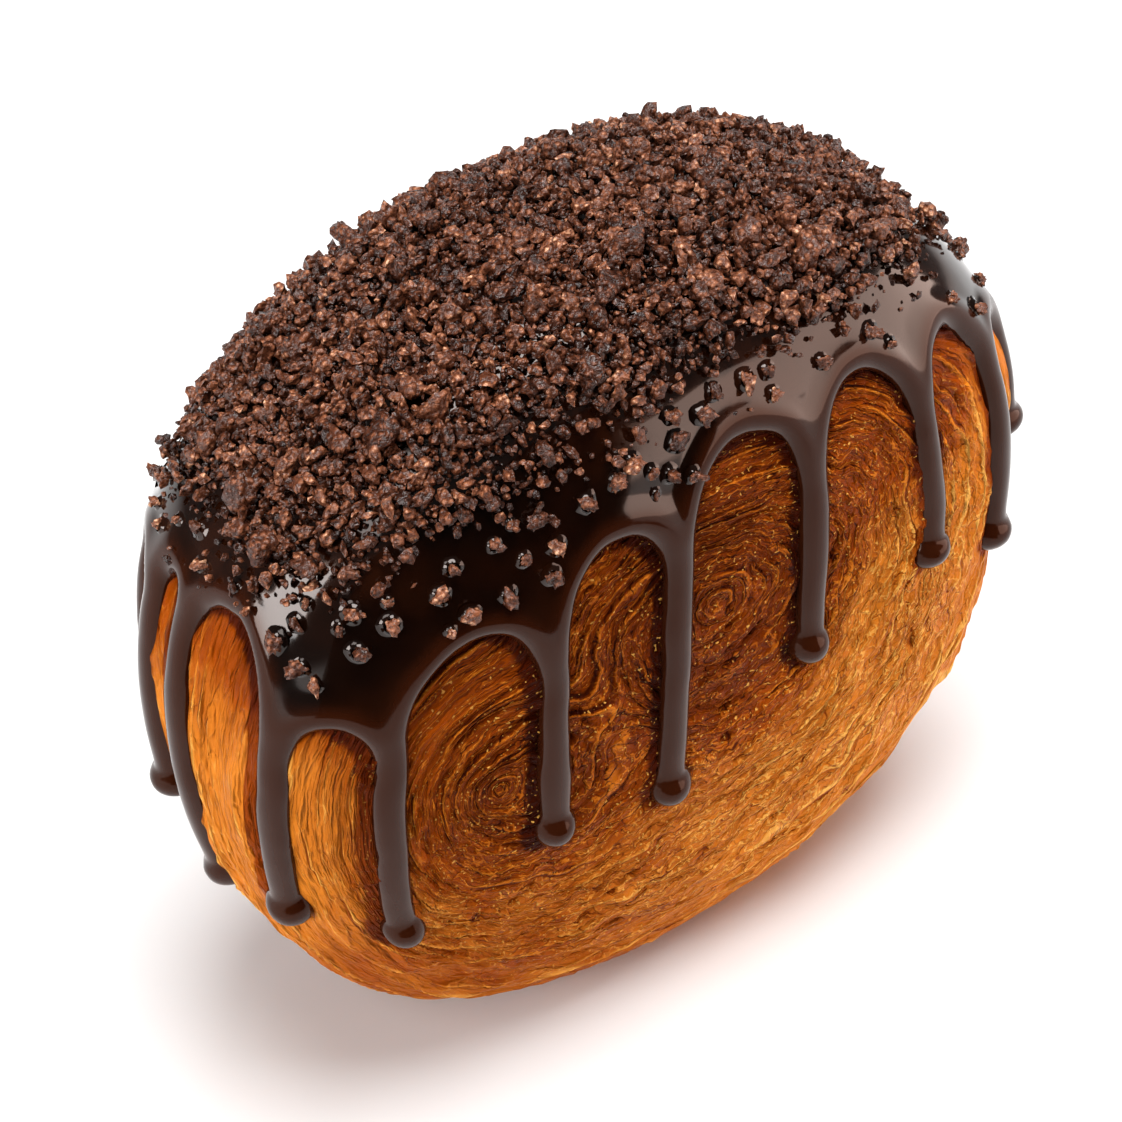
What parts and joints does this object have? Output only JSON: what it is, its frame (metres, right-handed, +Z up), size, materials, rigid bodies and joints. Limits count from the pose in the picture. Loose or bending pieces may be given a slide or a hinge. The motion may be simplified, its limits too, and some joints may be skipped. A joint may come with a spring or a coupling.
{
  "type": "croissant roll",
  "caption": "Wheel-shaped layered croissant roll that stands on its edge, dipped in dark glossy glaze with long drips and strewn with biscuit crumbs.",
  "frame": {"origin": "centre of the flat foot, on the surface that the roll stands on", "axes": "+Z up, +X along the width of the wheel, the coiled faces look along -Y and +Y"},
  "size_m": [0.1212, 0.0605, 0.1135],
  "materials": {
    "pastry": "baked, flaky, satin",
    "glaze": "dark, wet gloss",
    "crumbs": "dry crumb"
  },
  "bodies": {
    "root": {"pastry_roll": "pastry", "chocolate_glaze": "glaze"}
  },
  "joints": []
}
